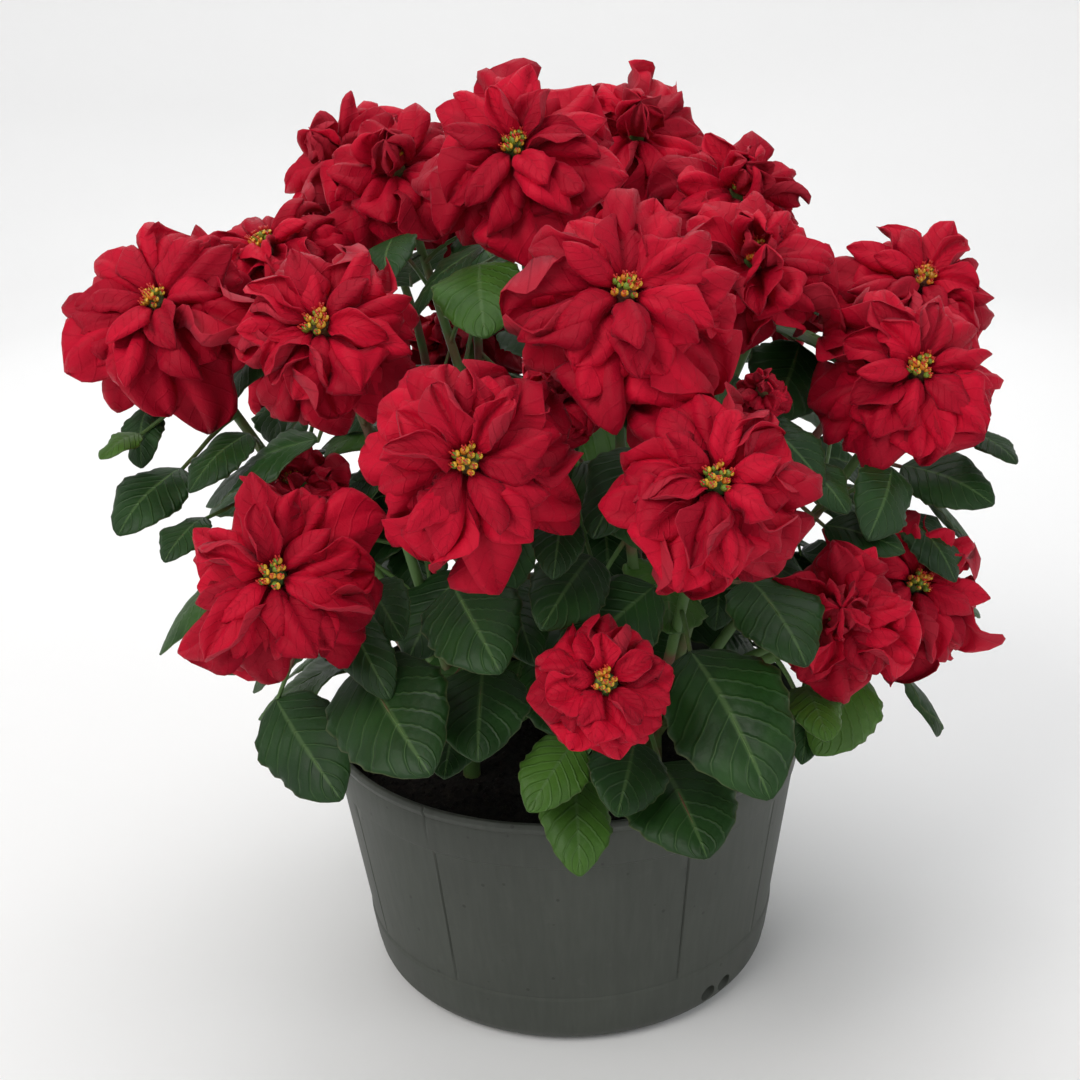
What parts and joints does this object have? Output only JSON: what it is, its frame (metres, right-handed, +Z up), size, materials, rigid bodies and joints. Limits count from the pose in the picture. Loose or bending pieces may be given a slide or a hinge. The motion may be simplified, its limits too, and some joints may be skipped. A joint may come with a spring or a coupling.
{
  "type": "potted poinsettia",
  "caption": "Potted poinsettia with curled red bract heads over dark green leaves, rooted in a round grey-green plastic barrel-look pot that stands on its flat underside.",
  "frame": {"origin": "middle of the pot's flat underside, on the surface it stands on", "axes": "+Z up along the pot's axis; -Y towards the side that the picture shows; +X to the right seen from there"},
  "size_m": [0.5316, 0.4789, 0.543],
  "materials": {
    "pot_plastic": "matte dark grey-green moulded plastic with a faint upright grain",
    "peat": "dark crumbly peat",
    "foliage": "dark green quilted leaves with paler veins, on green stems",
    "bracts": "velvety crimson with soft pleats",
    "flowers": "small yellow, green and red flowers"
  },
  "bodies": {
    "root": {"pot": "pot_plastic", "soil": "peat", "plant_1": "foliage", "plant_2": "foliage", "plant_3": "foliage", "plant_4": "foliage", "plant_5": "foliage", "head_01": "bracts", "head_02": "bracts", "head_03": "bracts", "head_04": "bracts", "head_05": "bracts", "head_06": "bracts", "head_07": "bracts", "head_08": "bracts", "head_09": "bracts", "head_10": "bracts", "head_11": "bracts", "head_12": "bracts", "head_13": "bracts", "head_14": "bracts", "head_15": "bracts", "head_16": "bracts", "head_17": "bracts", "head_18": "bracts", "head_19": "bracts", "head_20": "bracts", "head_21": "bracts", "head_22": "bracts", "head_23": "bracts", "head_24": "bracts", "head_25": "bracts", "head_26": "bracts", "bud": "bracts", "flowers_01": "flowers", "flowers_02": "flowers", "flowers_03": "flowers", "flowers_04": "flowers", "flowers_05": "flowers", "flowers_06": "flowers", "flowers_07": "flowers", "flowers_08": "flowers", "flowers_09": "flowers", "flowers_10": "flowers", "flowers_11": "flowers", "flowers_12": "flowers", "flowers_13": "flowers", "flowers_14": "flowers", "flowers_15": "flowers", "flowers_16": "flowers", "flowers_17": "flowers", "flowers_18": "flowers", "flowers_19": "flowers", "flowers_20": "flowers", "flowers_21": "flowers", "flowers_22": "flowers", "flowers_23": "flowers", "flowers_24": "flowers", "flowers_25": "flowers", "flowers_26": "flowers"}
  },
  "joints": []
}
